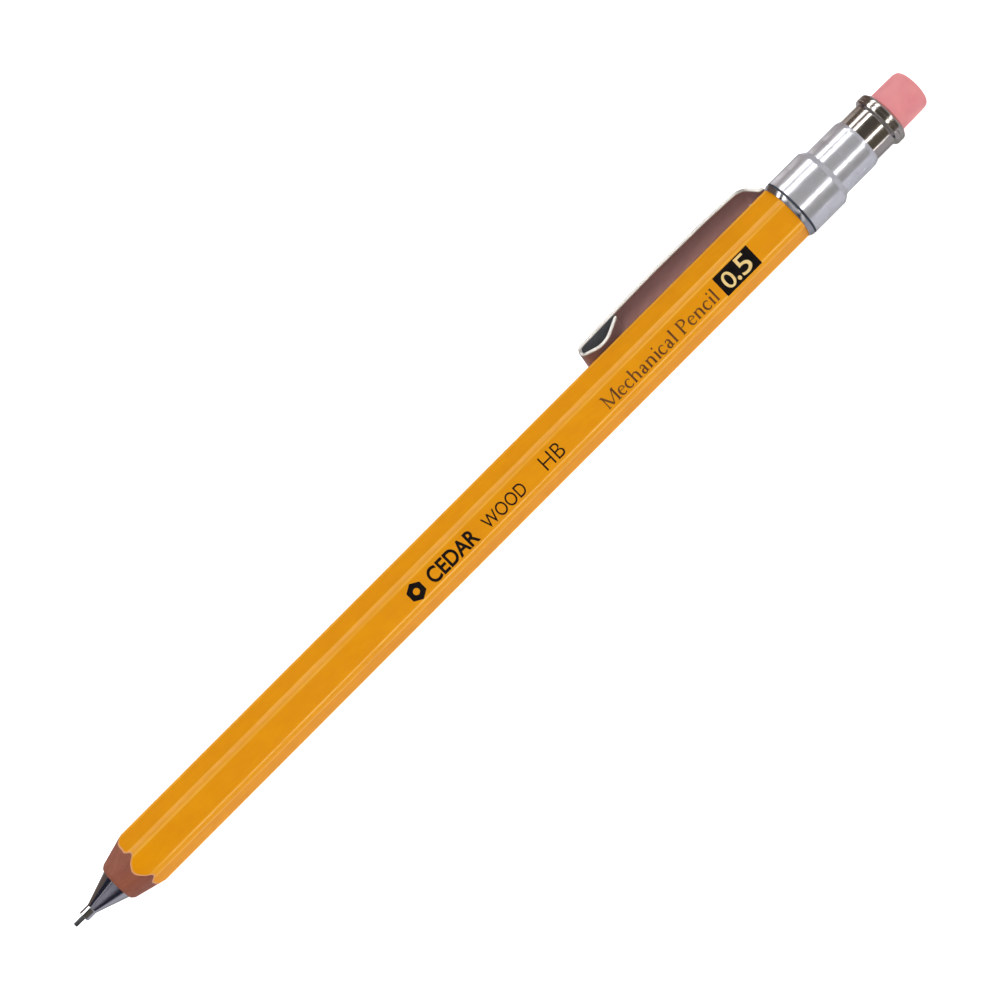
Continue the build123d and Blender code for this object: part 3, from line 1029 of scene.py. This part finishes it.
def build_printing():
    title = serif_mesh("print_title", "Mechanical Pencil", 1.68, 18.41)
    add_print("print_title", title, 85.54, BASELINE, BROWN_INK)
    box = plate_mesh("print_box", 5.55, 2.8, 0.06)
    add_print("print_box", box, SIZE_BOX_X, -1.54, INK)
    for name, digit, height, width, left, up in DIGITS:
        mesh = sized_text(name, digit, height, width, 0.004)
        for v in mesh.vertices:
            v.co.z += INK_THICK
        add_print(name, mesh, SIZE_BOX_X + left, up, CREAM)
    mark = hexagon_mark("print_mark", 2.1)
    add_print("print_mark", mark, 55.05, -0.12, INK)
    for name, word, height, width, left, slim in WORDS:
        mesh = sized_text(name, word, height, width, slim)
        add_print(name, mesh, left, BASELINE, INK)


# ---------------------------------------------------------------- carried-over nodes

INNER_MATERIALS = {
    "inner_sleeve": LINER,
    "lead_retainer": RUBBER,
    "clutch_ring": BRASS,
    "chuck_jaw_1": BRASS,
    "chuck_jaw_2": BRASS,
    "chuck_jaw_3": BRASS,
    "chuck_body": BRASS,
    "spring_seat": STEEL,
    "tank_coupling": BUSH,
    "lead_tank": TANK,
    "spare_leads": GRAPHITE,
}


def finish_inner_nodes():
    for node, material in INNER_MATERIALS.items():
        slots = frame["nodes"][node].data.materials
        slots.clear()
        slots.append(material)


# ---------------------------------------------------------------- stage, lights, camera

# Camera and lights, in metres
CAMERA_DISTANCE = 0.3553
CAMERA_LENS = 110.0
CAMERA_LEAN = math.radians(-10.95)
CAMERA_BACK = math.radians(-2.2)
PENCIL_SLANT = math.radians(45.03)
AIM_X = 0.00043
AIM_Y = 0.00002
LIGHT_DISTANCE = 0.6


def round_from_camera(degrees):
    """A place on the studio's ramp, in degrees round the pencil from the camera's direction."""
    return degrees / 360 + 0.5


# What shiny surfaces see of the studio: round the pencil, and towards its two ends. The last
# number of an end's colour says how far it covers the ring round the pencil.
STUDIO_BANDS = (
    (0.0, (0.26, 0.27, 0.27, 1)),
    (round_from_camera(-140), (0.36, 0.37, 0.38, 1)),
    (round_from_camera(-120), (0.50, 0.50, 0.56, 1)),
    (round_from_camera(-80), (0.52, 0.52, 0.59, 1)),
    (round_from_camera(-70), (0.12, 0.11, 0.09, 1)),
    (round_from_camera(-36), (0.13, 0.12, 0.10, 1)),
    (round_from_camera(-12), (0.10, 0.09, 0.075, 1)),
    (round_from_camera(35), (0.085, 0.08, 0.07, 1)),
    (round_from_camera(80), (0.12, 0.11, 0.11, 1)),
    (round_from_camera(95), (0.15, 0.11, 0.09, 1)),
    (round_from_camera(138), (0.17, 0.12, 0.10, 1)),
    (round_from_camera(150), (0.50, 0.50, 0.53, 1)),
    (1.0, (0.52, 0.52, 0.56, 1)),
)
END_BANDS = (
    (0.0, (0.20, 0.20, 0.21, 1.0)),
    (0.10, (0.20, 0.20, 0.21, 1.0)),
    (0.125, (0.40, 0.39, 0.45, 1.0)),
    (0.150, (0.40, 0.39, 0.45, 1.0)),
    (0.160, (0.015, 0.015, 0.03, 1.0)),
    (0.203, (0.015, 0.015, 0.03, 1.0)),
    (0.225, (0.20, 0.20, 0.23, 0.0)),
    (0.74, (0.30, 0.30, 0.34, 0.0)),
    (0.86, (0.42, 0.42, 0.46, 0.7)),
    (1.0, (0.46, 0.46, 0.48, 1.0)),
)


def build_floor():
    mesh = bpy.data.meshes.new("floor")
    half = 1.5
    corners = [(-half, -half, 0), (half, -half, 0), (half, half, 0), (-half, half, 0)]
    mesh.from_pydata(corners, [], [(0, 1, 2, 3)])
    floor = bpy.data.objects.new("floor", mesh)
    bpy.context.scene.collection.objects.link(floor)
    s = Shader("pale_floor")
    s.set(Base_Color=(0.95, 0.95, 0.95, 1), Roughness=0.9, Specular_IOR_Level=0.0)
    s.set(Emission_Color=(1, 1, 1, 1), Emission_Strength=0.9)
    mesh.materials.append(s.material)
    floor.visible_glossy = False


def add_panel(name, from_camera, width, power, along=0.0, length=1.0, fill=False):
    """A softbox facing the pencil, placed by its angle round the pencil from the camera.

    A fill lights the matt surfaces only, and any other panel is only seen in shiny ones.
    """
    data = bpy.data.lights.new(name, "AREA")
    data.shape = "RECTANGLE"
    data.size = length
    data.size_y = width
    data.energy = power
    light = bpy.data.objects.new(name, data)
    bpy.context.scene.collection.objects.link(light)
    light.visible_glossy = not fill
    light.visible_diffuse = fill
    angle = math.radians(from_camera) + CAMERA_LEAN
    out = Vector((0, math.sin(angle), math.cos(angle)))
    across = Vector((1, 0, 0)).cross(out)
    turned = Matrix((Vector((1, 0, 0)), -across, out)).transposed().to_4x4()
    turned.translation = Vector((along, AXIS_Y, AXIS_Z)) + out * LIGHT_DISTANCE
    light.matrix_world = turned
    return light


def build_world():
    """A studio that changes with the angle round the pencil: dark overhead, greyer low down."""
    world = bpy.data.worlds.new("studio")
    bpy.context.scene.world = world
    world.use_nodes = True
    nodes, links = world.node_tree.nodes, world.node_tree.links
    background = next(n for n in nodes if n.type == "BACKGROUND")
    coords = nodes.new("ShaderNodeTexCoord")
    split = nodes.new("ShaderNodeSeparateXYZ")
    links.new(coords.outputs["Generated"], split.inputs["Vector"])
    angle = nodes.new("ShaderNodeMath")
    angle.operation = "ARCTAN2"
    links.new(split.outputs["Y"], angle.inputs[0])
    links.new(split.outputs["Z"], angle.inputs[1])
    share = nodes.new("ShaderNodeMapRange")
    share.inputs["From Min"].default_value = CAMERA_LEAN - math.pi
    share.inputs["From Max"].default_value = CAMERA_LEAN + math.pi
    links.new(angle.outputs[0], share.inputs["Value"])
    ramp = nodes.new("ShaderNodeValToRGB")
    links.new(share.outputs["Result"], ramp.inputs["Fac"])
    set_ramp(ramp, STUDIO_BANDS)
    ends = nodes.new("ShaderNodeValToRGB")
    sideways = nodes.new("ShaderNodeMapRange")
    sideways.inputs["From Min"].default_value = -1
    links.new(split.outputs["X"], sideways.inputs["Value"])
    links.new(sideways.outputs["Result"], ends.inputs["Fac"])
    set_ramp(ends, END_BANDS)
    mixed = nodes.new("ShaderNodeMix")
    mixed.data_type = "RGBA"
    links.new(ends.outputs["Alpha"], mixed.inputs["Factor"])
    links.new(ramp.outputs["Color"], mixed.inputs["A"])
    links.new(ends.outputs["Color"], mixed.inputs["B"])
    links.new(mixed.outputs["Result"], background.inputs["Color"])


def set_ramp(ramp, bands):
    """Fills a colour ramp from (position, colour) pairs."""
    elements = ramp.color_ramp.elements
    elements[0].position, elements[0].color = bands[0]
    elements[1].position, elements[1].color = bands[-1]
    for position, colour in bands[1:-1]:
        elements.new(position).color = colour


def build_camera():
    data = bpy.data.cameras.new("camera")
    camera = bpy.data.objects.new("camera", data)
    bpy.context.scene.collection.objects.link(camera)
    bpy.context.scene.camera = camera
    data.lens = CAMERA_LENS
    data.sensor_width = 36.0
    data.clip_start, data.clip_end = 0.01, 10.0
    toward = Vector((math.sin(CAMERA_BACK), math.sin(CAMERA_LEAN), math.cos(CAMERA_LEAN))).normalized()
    x_axis = Vector((1, 0, 0))
    x_seen = (x_axis - toward * x_axis.dot(toward)).normalized()
    y_seen = toward.cross(x_seen)
    right = x_seen * math.cos(PENCIL_SLANT) - y_seen * math.sin(PENCIL_SLANT)
    up = x_seen * math.sin(PENCIL_SLANT) + y_seen * math.cos(PENCIL_SLANT)
    turned = Matrix((right, up, toward)).transposed().to_4x4()
    target = Vector((AIM_X, AXIS_Y + AIM_Y, AXIS_Z))
    turned.translation = target + toward * CAMERA_DISTANCE
    camera.matrix_world = turned


def build_stage():
    build_floor()
    build_world()
    add_panel("fill_front", 16, 0.5, 3.85, length=0.7, fill=True)
    add_panel("fill_low", -70, 0.4, 0.75, length=0.7, fill=True)
    add_panel("strip_low", 75, 0.10, 1.9, along=0.10)
    add_panel("strip_high", 49, 0.09, 1.9, along=0.10)
    add_panel("strip_front", -24, 0.075, 1.6, along=0.37)
    add_panel("tip_glint", 39, 0.05, 0.014, along=-0.66, length=0.10)
    add_panel("collar_front", -4, 0.8, 0.22, along=-0.45, length=0.09)
    add_panel("collar_low", -58, 0.35, 0.10, along=-0.36, length=0.10)
    add_panel("collar_high", 42, 0.2, 0.10, along=-0.41, length=0.08)
    add_panel("sleeve_glint", -80, 0.03, 0.02, along=0.155, length=0.026)
    add_panel("sleeve_top", 124, 0.34, 0.05, along=0.145, length=0.04)
    build_camera()
    bpy.context.scene.view_settings.view_transform = "Standard"


build_barrel()
build_tip()
build_lead()
build_collar()
build_rear_sleeve()
build_knock_tube()
build_eraser_cup()
build_eraser()
build_clip()
build_spring()
build_printing()
finish_inner_nodes()
build_stage()
